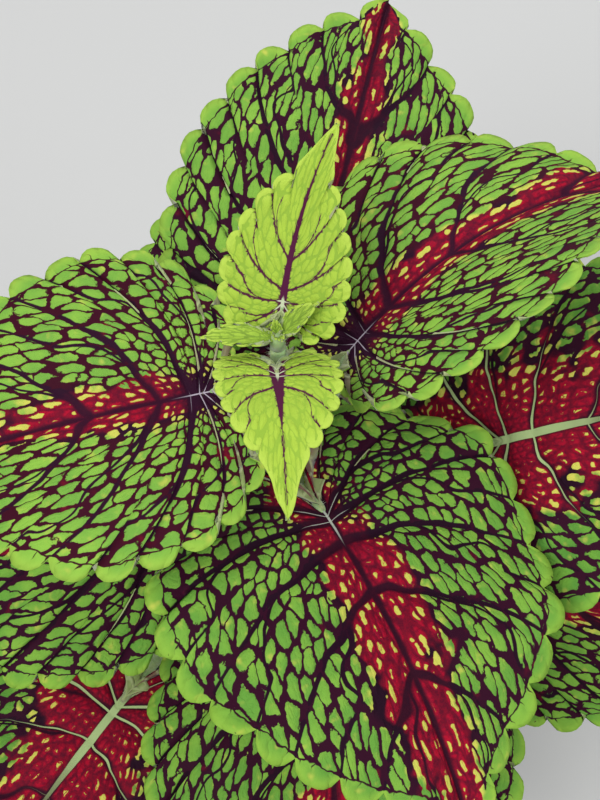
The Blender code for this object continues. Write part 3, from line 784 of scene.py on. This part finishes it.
def srgb(text):
    """A linear colour from its hexadecimal sRGB form."""
    parts = [int(text[i:i + 2], 16) / 255 for i in (0, 2, 4)]
    return tuple(c / 12.92 if c <= 0.04045 else ((c + 0.055) / 1.055) ** 2.4 for c in parts)


# What sets the leaves apart, in millimetres. Pairs are near the midrib or base, and far from it.
# net, lateral, midrib: half the widths of the thin and the wide veins; taper: over how much of the midrib
# reach, patch, dark: how far out the crimson heart goes, how uneven it is, and what the veins gain there
# red, yellow, dusk: how strong the crimson and its yellow dots are, and how far the base stays purple
# pale, core: how far the pale lines run, and their half widths on the midrib and the laterals
# loop, loop_width: how far the outermost loop of veins stays off the margin, and half its width
# last: the lobe after which no lateral runs
YOUNG = {
    "net": 0.0, "lateral": (0.22, 0.09), "midrib": (1.7, 0.10), "taper": 18, "reach": 3, "patch": 0.0,
    "dark": 0.0, "red": 0.0, "yellow": 0.0, "dusk": 0, "pale": 4, "core": (0.3, 0.1),
    "green": "a9c845", "green_b": "a1c043", "rim": "b9d455", "thin": "93b53e", "wide": "521a3c",
    "white": "c9d2b0", "loop": (0.6, 1.8), "loop_width": -0.15, "last": 10,
}
RED = {
    "net": 0.20, "lateral": (1.1, 0.42), "midrib": (0.8, 0.5), "taper": 70, "reach": 14, "patch": 26.0,
    "dark": 1.2, "red": 1.1, "yellow": 0.9, "dusk": 3, "pale": 14, "core": (0.25, 0.0),
    "green": "82b343", "green_b": "679f3e", "rim": "93bd44", "thin": "330a22", "wide": "240a1e",
    "white": "b3b8ac", "loop": (1.0, 5.2), "loop_width": 0.2, "last": 99,
}
LOOKS = {
    "young": YOUNG,
    "new": {
        **YOUNG, "lateral": (0.24, 0.10), "midrib": (0.9, 0.12), "taper": 34, "pale": 3, "thin": "8fb13d",
        "last": 9,
    },
    "middle": {
        **RED, "net": 0.12, "lateral": (0.8, 0.34), "midrib": (0.7, 0.3), "taper": 60, "reach": 9,
        "patch": 14.0, "dark": 1.0, "red": 1.0, "dusk": 11, "pale": 11, "core": (0.1, 0.02),
        "green": "8aba46", "green_b": "73a843", "rim": "9cc14a", "thin": "3c0a1e", "wide": "2c0c24",
        "white": "b9aebb", "loop": (1.0, 4.8),
    },
    "back": {
        **RED, "net": 0.16, "lateral": (1.0, 0.40), "midrib": (1.1, 0.5), "taper": 80, "reach": 10,
        "patch": 16.0, "red": 0.8, "yellow": 0.8, "dusk": 6, "pale": 6, "core": (0.1, 0.02),
        "green": "86b645", "green_b": "6ea33f", "rim": "9cc14a", "white": "b9aebb",
    },
    "red": RED,
    "old": {
        **RED, "net": 0.30, "lateral": (0.55, 0.45), "midrib": (1.2, 0.6), "taper": 80, "reach": 32,
        "patch": 30.0, "dark": 1.5, "red": 1.2, "yellow": 1.0, "dusk": 0, "pale": 46, "core": (1.1, 0.22),
        "green": "74a93e", "green_b": "579039", "rim": "8bb844", "white": "aec488", "loop": (1.0, 5.0),
        "loop_width": 0.25,
    },
    "small": {
        **YOUNG, "lateral": (0.05, 0.02), "midrib": (0.12, 0.04), "taper": 10, "reach": 1, "pale": 1,
        "core": (0.1, 0.02), "green": "a3c347", "green_b": "8fb340", "rim": "b7d155", "thin": "83a03a",
        "wide": "7c9a3a", "white": "b7c49a", "loop": (0.3, 0.8), "loop_width": -0.2, "last": 99,
    },
}
CRIMSON = srgb("b00e2d")
CRIMSON_DEEP = srgb("7c0d2a")
YELLOW = srgb("d3cf5c")


def leaf_fields(t):
    """What the blade carries at a point, in millimetres, with the distances and the noises made from it."""
    at = SimpleNamespace()
    _, at.lobes, at.out, row = t.attribute("vein")
    _, at.spacing, at.share, at.cells = t.attribute("edge")
    at.flat, x, at.along, _ = t.attribute("flat")
    at.away = t.math("ABSOLUTE", x)
    at.from_base = t.math("SQRT", t.add(t.mul(x, x), t.mul(at.along, at.along)))
    at.from_margin = t.sub(row, at.out)
    at.slow = t.noise(at.flat, 0.05, 1)
    at.middling = t.noise(at.flat, 0.13, 2)
    at.lumps = t.noise(at.flat, 0.33, 1)
    at.sway = t.noise(t.shift(at.flat, 50), 0.33, 1)
    at.fray = t.noise(at.flat, 0.9, 3, 0.6)
    bend = t.mul(t.mul(t.noise(at.flat, 0.09, 1), 0.8), t.sub(1.0, at.share))
    at.bent = t.add(at.lobes, bend)
    return at


def wide_veins(t, at, look):
    """Distances from the wide veins' edges: laterals to the notches with their forks, and the midrib."""
    at.even = t.mul(t.math("PINGPONG", at.bent, 1.0), at.spacing)
    fork = t.ramp(t.add(at.share, at.slow), 0.2, 0.8)
    odd = t.math("ABSOLUTE", t.sub(t.math("FLOORED_MODULO", at.bent, 2.0), fork))
    wide, narrow = look["lateral"]
    at.lateral = t.least(
        t.sub(at.even, t.ramp(at.share, 0.0, 0.9, wide, narrow, "LINEAR")),
        t.sub(t.mul(odd, at.spacing), t.ramp(at.share, 0.0, 0.9, wide * 0.7, narrow * 0.9, "LINEAR")),
    )
    lobe = t.math("FLOORED_MODULO", at.lobes, LOBES_A_HALF)
    past = t.ramp(lobe, look["last"] - 0.3, look["last"] + 0.2)
    at.lateral = t.add(at.lateral, t.mul(past, 3.0))
    wide, narrow = look["midrib"]
    at.midrib = t.sub(at.away, t.ramp(at.along, 0.0, look["taper"], wide, narrow, "LINEAR"))


def thin_veins(t, at, look):
    """The distance from the net between the cells, and from each cell's centre."""
    warped = t.vector(
        t.add(t.mul(at.bent, CELLS_ACROSS), t.add(t.mul(at.lumps, 0.45), t.mul(at.fray, 0.2))),
        t.add(at.cells, t.add(t.mul(at.sway, 0.45), t.mul(at.fray, 0.2))),
    )
    cell_length = t.ramp(at.out, 0.0, 30.0, 2.0, 4.4, "LINEAR")
    size = t.math("SQRT", t.mul(t.mul(at.spacing, 1 / CELLS_ACROSS), cell_length))
    edge = t.voronoi(warped, "DISTANCE_TO_EDGE", random=0.8)
    centre = t.voronoi(warped, "F1", random=0.8)
    rounding = t.mul(t.math("MAXIMUM", t.sub(centre, 0.3), 0.0), 0.45)
    thin = t.mul(t.add(1.0, t.mul(at.middling, 2.4)), look["net"])
    cell = t.sub(t.mul(t.sub(edge, rounding), size), thin)
    finer = t.voronoi(t.scaled(warped, 2.3), "DISTANCE_TO_EDGE", random=0.9)
    spurs = t.sub(t.mul(finer, t.mul(size, 0.45)), 0.1)
    inner = t.ramp(t.add(cell, t.mul(at.lumps, 1.6)), 0.0, 0.6, 0.0, 0.7, "LINEAR")
    at.cell = t.least(cell, t.add(spurs, inner))
    at.from_centre = t.mul(centre, size)


def all_veins(t, at, look):
    """The distance from any vein: the net, the outermost loop, and three short spurs to a lobe beyond it."""
    lobe = t.math("FRACT", at.lobes)
    near, far = look["loop"]
    notch = t.math("ABSOLUTE", t.sub(t.mul(lobe, 2.0), 1.0))
    bulge = t.sub(1.0, t.math("POWER", notch, 2.4))
    reach = t.add(near, t.mul(bulge, far - near))
    beyond = t.sub(reach, t.add(at.from_margin, t.mul(at.lumps, 2.2)))
    knot = t.mul(t.math("POWER", notch, 5.0), look["loop_width"] * 3)
    loop = t.sub(t.math("ABSOLUTE", beyond), t.add(look["loop_width"], knot))
    third = t.math("FRACT", t.add(t.mul(lobe, 3.0), t.mul(at.sway, 0.8)))
    thirds = t.math("ABSOLUTE", t.sub(third, 0.5))
    taper = t.add(beyond, t.mul(at.middling, 5.0))
    taper = t.ramp(taper, 0.0, 2.4, look["loop_width"] * 0.8, -0.25, "LINEAR")
    spur = t.sub(t.mul(thirds, t.mul(at.spacing, 1 / 3)), taper)
    inside = t.math("SMOOTH_MIN", t.math("SMOOTH_MIN", at.lateral, at.midrib, 0.5), at.cell, 0.4)
    in_lobe = t.ramp(beyond, -0.1, 0.1)
    within = t.mul(t.sub(1.0, in_lobe), t.least(inside, loop))
    line = t.add(t.mul(in_lobe, t.least(loop, spur)), within)
    at.line = t.add(line, t.mul(at.fray, 0.25))


def crimson_heart(t, at, look):
    """Where the blade is crimson, and what is left green or yellow between the veins there."""
    along_lateral = t.add(t.add(t.mul(at.even, 2.0), look["reach"] * 0.3), t.mul(at.out, 0.4))
    near_vein = t.least(at.away, along_lateral)
    patchy = t.add(near_vein, t.mul(at.slow, -look["patch"]))
    heart = t.ramp(patchy, 1.0, max(look["reach"], 1.5), 1.0, 0.0)
    at.heart = t.mul(heart, t.ramp(at.share, 0.6, 0.9, 1.0, 0.0))
    dot = t.sub(t.add(t.sub(1.9, t.mul(at.heart, 1.3)), t.mul(at.sway, 5.0)), at.from_centre)
    outside = t.ramp(at.heart, 0.0, 0.25, 3.0, 0.0 if look["dark"] else 3.0)
    depth = t.least(t.sub(at.line, t.mul(at.heart, look["dark"] * 0.5)), t.add(dot, outside))
    at.net = t.ramp(depth, -0.1, 0.14, 1.0, 0.0)


def cell_colour(t, at, look):
    """Green, paler at the rim and yellow in the heart."""
    green = t.mix(t.ramp(at.middling, -0.2, 0.2), srgb(look["green"]), srgb(look["green_b"]))
    green = t.mix(t.ramp(at.from_margin, 0.2, 4.0, 0.75, 0.0), green, srgb(look["rim"]))
    golden = t.mul(t.ramp(t.add(at.heart, t.mul(at.lumps, 1.2)), 0.1, 0.55), look["yellow"])
    return t.mix(golden, green, YELLOW)


def vein_colour(t, at, look):
    """Dark purple, and crimson in the heart except at the base and on the wide veins."""
    wide = t.least(at.lateral, at.midrib)
    is_wide = t.ramp(t.sub(wide, at.line), 0.2, 0.5, 1.0, 0.0)
    in_heart = t.mul(t.ramp(at.heart, 0.1, 0.6), min(look["dark"], 1.0))
    veins = t.mix(t.math("MAXIMUM", is_wide, in_heart), srgb(look["thin"]), srgb(look["wide"]))
    red = t.ramp(t.add(at.heart, t.add(t.mul(at.slow, -0.6), t.mul(at.middling, 1.8))), 0.3, 0.6)
    red = t.mul(red, t.ramp(at.from_base, look["dusk"] * 0.4, look["dusk"] + 1.0))
    red = t.mul(red, t.ramp(t.add(wide, t.mul(at.middling, 1.5)), -0.3, 0.8, 0.1, 1.0))
    red = t.mul(red, t.ramp(at.line, -0.3, 0.5, 0.45, 1.0))
    red = t.math("MINIMUM", t.mul(red, look["red"]), 1.0)
    return t.mix(red, veins, t.mix(t.ramp(at.fray, -0.2, 0.2), CRIMSON, CRIMSON_DEEP))


def pale_lines(t, at, look):
    """How much the pale line down the midrib, and those down the laterals near the base, show."""
    along_midrib, along_side = look["core"]
    ragged = t.add(at.from_base, t.mul(at.middling, 8.0))
    white = t.ramp(ragged, look["pale"] * 0.35, look["pale"], 1.0, 0.0)
    fading = t.sub(1.0, white)
    line = t.least(
        t.add(t.sub(at.away, along_midrib), t.mul(fading, along_midrib)),
        t.add(t.sub(at.even, along_side), t.mul(fading, 0.4)),
    )
    return t.mul(white, t.ramp(line, 0.0, 0.14, 1.0, 0.0))


def leaf_finish(name, look):
    """Green cells in a dark net that thickens to a crimson heart, from the veins' own coordinates."""
    t = Tree(name)
    at = leaf_fields(t)
    wide_veins(t, at, look)
    thin_veins(t, at, look)
    all_veins(t, at, look)
    crimson_heart(t, at, look)
    colour = t.mix(at.net, cell_colour(t, at, look), vein_colour(t, at, look))
    colour = t.mix(pale_lines(t, at, look), colour, srgb(look["white"]))
    height = t.add(t.ramp(at.line, -0.5, 1.6), t.mul(t.noise(at.flat, 2.2, 3), 0.25))
    t.bump(height, 0.00035, 0.9)
    return t.finish(colour, 0.65, Specular_IOR_Level=0.08)


def underside_finish():
    """The back of a blade: paler, with raised veins, and flushed along the midrib of a large leaf."""
    t = Tree("underside")
    _, lobes, out, row = t.attribute("vein")
    spacing = t.attribute("edge")[1]
    flat, x, _, _ = t.attribute("flat")
    away = t.math("ABSOLUTE", x)
    even = t.mul(t.math("PINGPONG", lobes, 1.0), spacing)
    cells = t.voronoi(t.vector(t.mul(lobes, 2.0), t.mul(out, 0.2)), "DISTANCE_TO_EDGE", random=0.8)
    raised = t.ramp(t.least(even, away, t.mul(cells, 4.0)), 0.1, 0.8, 1.0, 0.0)
    base = t.mix(t.ramp(t.noise(flat, 0.08, 2), -0.15, 0.15), srgb("8fa75a"), srgb("7f8a52"))
    heart = t.mul(t.ramp(away, 4.0, 28.0, 0.75, 0.0), t.ramp(row, 9.0, 20.0))
    base = t.mix(heart, base, srgb("7a3048"))
    colour = t.mix(t.mul(raised, 0.6), base, srgb("b9c58c"))
    t.bump(t.add(raised, t.mul(t.noise(flat, 2.0, 3), 0.2)), 0.0005)
    return t.finish(colour, 0.62, Sheen_Weight=0.3)


def stem_finish():
    """Pale watery green with lengthways streaks and a trace of purple."""
    t = Tree("stem")
    place = t.place()
    streaks = t.noise(place, 420, 3)
    patches = t.noise(place, 55, 2)
    colour = t.mix(t.ramp(streaks, -0.2, 0.2), srgb("a9bf86"), srgb("8fae72"))
    colour = t.mix(t.ramp(patches, 0.05, 0.25, 0.0, 0.55), colour, srgb("8a7a68"))
    t.bump(t.add(streaks, t.mul(t.noise(place, 1500, 2), 0.5)), 0.0002)
    return t.finish(colour, 0.5, Sheen_Weight=0.3, Subsurface_Weight=0.1, Subsurface_Scale=0.001)


def hair_finish():
    t = Tree("hair")
    colour = t.mix(t.ramp(t.noise(t.place(), 300, 1), -0.2, 0.2), srgb("dfe6d4"), srgb("c7d2b6"))
    return t.finish(colour, 0.6)


def soil_finish():
    t = Tree("soil")
    place = t.place()
    clumps = t.noise(place, 260, 5, 0.65)
    colour = t.mix(t.ramp(clumps, -0.18, 0.18), srgb("2a1d14"), srgb("4d3826"))
    colour = t.mix(t.ramp(t.noise(place, 900, 2), 0.15, 0.3), colour, srgb("6e5338"))
    t.bump(t.add(clumps, t.mul(t.noise(place, 1400, 3), 0.5)), 0.0012)
    return t.finish(colour, 0.95, Specular_IOR_Level=0.2)


def pot_finish():
    """Black moulded plastic: a fine grain, faint turning lines, and dust low on the wall."""
    t = Tree("pot")
    place = t.place()
    height = t.split(place)[2]
    grain = t.noise(place, 1800, 2)
    scuffs = t.noise(place, 60, 4, 0.6)
    rings = t.math("SINE", t.mul(height, 4200.0))
    dust = t.ramp(t.add(height, t.mul(scuffs, 0.05)), 0.0, 0.03, 0.35, 0.0)
    colour = t.mix(t.ramp(scuffs, -0.2, 0.25), srgb("1d1e20"), srgb("2b2c2e"))
    colour = t.mix(dust, colour, srgb("5a5044"))
    roughness = t.ramp(scuffs, -0.2, 0.2, 0.36, 0.52)
    t.bump(t.add(t.mul(grain, 0.6), t.mul(rings, 0.12)), 0.00012)
    return t.finish(colour, roughness)


def make_finishes():
    finishes = {"leaf_" + name: leaf_finish("leaf_" + name, look) for name, look in LOOKS.items()}
    finishes.update(
        underside=underside_finish(), stem=stem_finish(), hair=hair_finish(), soil=soil_finish(),
        pot=pot_finish(),
    )
    return finishes


# Soil


def low_radius():
    """The radius of the soil's foot, from the CAD soil's own vertices."""
    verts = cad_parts["soil"].data.vertices
    low = SOIL_BOX[0][2] + 0.5 * MM
    return max(math.hypot(v.co.x, v.co.y) for v in verts if v.co.z < low) / MM


def soil_levels(rng, radius, x, y):
    """The height of the soil's top: mounded at the stem, crumbly, and lower at the pot's wall."""
    level = SOIL_TOP + SOIL_MOUND * np.exp(-((radius / 22) ** 2))[:, None] + 0 * x
    for size, height in SOIL_WAVES:
        for _ in range(4):
            turn, phase = rng.uniform(0, 2 * math.pi, 2)
            across = x * math.cos(turn) + y * math.sin(turn)
            along = y * math.cos(turn) - x * math.sin(turn)
            wave = np.sin(across / size * math.pi + phase) * np.sin(along / size * 2.3 + 2 * phase)
            level += height / 4 * wave
    level += rng.normal(0, 0.16, x.shape)
    return level - 1.6 * np.clip((radius / SOIL_RADIUS - 0.93) / 0.07, 0, 1)[:, None]


def make_soil(finishes):
    """The soil's crumbly top, its side and its flat bottom, the hole for the stem, and loose crumbs."""
    rng = np.random.default_rng(SOIL_SEED)
    hole = float(stem_half_width(SOIL_TOP + SOIL_MOUND)) + SEAT_GAP + 0.2
    angle = np.linspace(0, 2 * math.pi, SOIL_SPOKES, endpoint=False)
    radius = hole + (SOIL_RADIUS - hole) * np.linspace(0, 1, SOIL_RINGS)
    x, y = radius[:, None] * np.cos(angle), radius[:, None] * np.sin(angle)
    ground = np.stack([x, y, soil_levels(rng, radius, x, y)], -1).reshape(-1, 3)
    low, hole_floor = SOIL_BOX[0][2] / MM, SOIL_TOP - 10
    rings = [
        np.stack([wide * np.cos(angle), wide * np.sin(angle), 0 * angle + height], -1)
        for height, wide in ((SOIL_TOP - 6, SOIL_RADIUS), (low, low_radius()), (hole_floor, hole))
    ]
    verts = np.vstack([ground, *rings, [[0, 0, low]], [[0, 0, hole_floor]]])
    spoke = np.arange(SOIL_SPOKES)
    following = np.roll(spoke, -1)
    outwards = [ring * SOIL_SPOKES for ring in range(SOIL_RINGS + 2)]
    foot, core = outwards[-1], outwards[-1] + SOIL_SPOKES
    quads = [np.stack([a + spoke, b + spoke, b + following, a + following], -1)
             for a, b in zip(outwards, outwards[1:])]
    quads.append(np.stack([spoke, following, core + following, core + spoke], -1))
    ends = [(foot + j, len(verts) - 2, foot + following[j]) for j in range(SOIL_SPOKES)]
    ends += [(core + following[j], len(verts) - 1, core + j) for j in range(SOIL_SPOKES)]
    soup = Soup()
    first = soup.place(verts)
    soup.cover(first, np.vstack(quads), 0)
    soup.cover(first, ends, 0)
    add_crumbs(soup, rng, ground, hole)
    make_piece("soil_dressed", soup, [finishes["soil"]], "soil")


def crumb_ball():
    """Points spread evenly over a ball, and the triangles of their hull."""
    order = np.arange(CRUMB_DOTS)
    turn = math.pi * (3 - math.sqrt(5)) * order
    height = 1 - 2 * (order + 0.5) / CRUMB_DOTS
    wide = np.sqrt(1 - height**2)
    ball = np.stack([wide * np.cos(turn), wide * np.sin(turn), height], -1)
    hull = bmesh.new()
    for dot in ball:
        hull.verts.new(dot)
    bmesh.ops.convex_hull(hull, input=hull.verts)
    hull.verts.index_update()
    faces = np.array([[vert.index for vert in face.verts] for face in hull.faces])
    hull.free()
    return ball, faces


def add_crumbs(soup, rng, ground, hole):
    """Lumps of soil, each an uneven ball half sunk into the top."""
    ball, faces = crumb_ball()
    for pick in rng.integers(0, len(ground), CRUMBS):
        place = ground[pick]
        away = math.hypot(place[0], place[1])
        if away < hole + 1.5 or away > SOIL_RADIUS - 2:
            continue
        size = rng.uniform(0.5, 1.9) ** 1.2
        lump = ball * rng.uniform(0.75, 1.2, (CRUMB_DOTS, 1)) * size * rng.uniform(0.7, 1.2, 3)
        soup.cover(soup.place(place + lump + (0, 0, size * 0.25)), faces, 0)


# Stage

# Metres and watts: (name, place, size, power)
LAMPS = (
    ("key", (-0.5, -0.5, 1.3), 0.7, 11),
    ("fill", (0.9, -0.3, 0.9), 0.9, 4.5),
    ("back", (0.1, 1.0, 0.9), 0.8, 4.5),
)
LAMP_AIM = (0, 0, 0.2)
FLOOR_REACH = 4
FLOOR_COLOUR = (0.62, 0.62, 0.61)
SKY_COLOUR = (0.95, 0.97, 1, 1)
SKY_STRENGTH = 0.42


def make_camera():
    camera = bpy.data.objects.new("camera", bpy.data.cameras.new("camera"))
    camera.data.lens = CAMERA_LENS
    camera.data.sensor_width = CAMERA_SENSOR
    camera.data.clip_start = CAMERA_NEAR
    camera.location = Vector(CAMERA_PLACE) * MM
    look = Vector(CAMERA_AIM) - Vector(CAMERA_PLACE)
    camera.rotation_euler = look.to_track_quat("-Z", "Y").to_euler()
    bpy.context.scene.collection.objects.link(camera)
    bpy.context.scene.camera = camera


def area_light(name, place, size, power):
    lamp = bpy.data.objects.new(name, bpy.data.lights.new(name, "AREA"))
    lamp.data.shape = "DISK"
    lamp.data.size = size
    lamp.data.energy = power
    lamp.location = place
    lamp.rotation_euler = (Vector(LAMP_AIM) - Vector(place)).to_track_quat("-Z", "Y").to_euler()
    bpy.context.scene.collection.objects.link(lamp)


def make_stage():
    mesh = bpy.data.meshes.new("floor")
    corners = [(x * FLOOR_REACH, y * FLOOR_REACH, 0) for x, y in ((-1, -1), (1, -1), (1, 1), (-1, 1))]
    mesh.from_pydata(corners, [], [(0, 1, 2, 3)])
    floor = bpy.data.objects.new("floor", mesh)
    bpy.context.scene.collection.objects.link(floor)
    mesh.materials.append(Tree("floor").finish(FLOOR_COLOUR, 0.8))
    world = bpy.data.worlds.new("studio")
    world.use_nodes = True
    world.node_tree.nodes["Background"].inputs["Color"].default_value = SKY_COLOUR
    world.node_tree.nodes["Background"].inputs["Strength"].default_value = SKY_STRENGTH
    bpy.context.scene.world = world
    bpy.context.scene.view_settings.view_transform = "Standard"
    for lamp in LAMPS:
        area_light(*lamp)


def main():
    finishes = make_finishes()
    make_camera()
    make_stage()
    for number, sizes in enumerate(LEAVES):
        make_leaf(sizes, number, finishes)
    for number, (node, face, reach, size) in enumerate(SIDE_SHOOTS):
        make_side_shoot(node, face, reach, size, 20 + 4 * number, finishes)
    make_shoot_tip(finishes)
    make_stem(finishes)
    make_soil(finishes)
    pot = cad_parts["pot"]
    pot.data.materials.clear()
    pot.data.materials.append(finishes["pot"])


main()
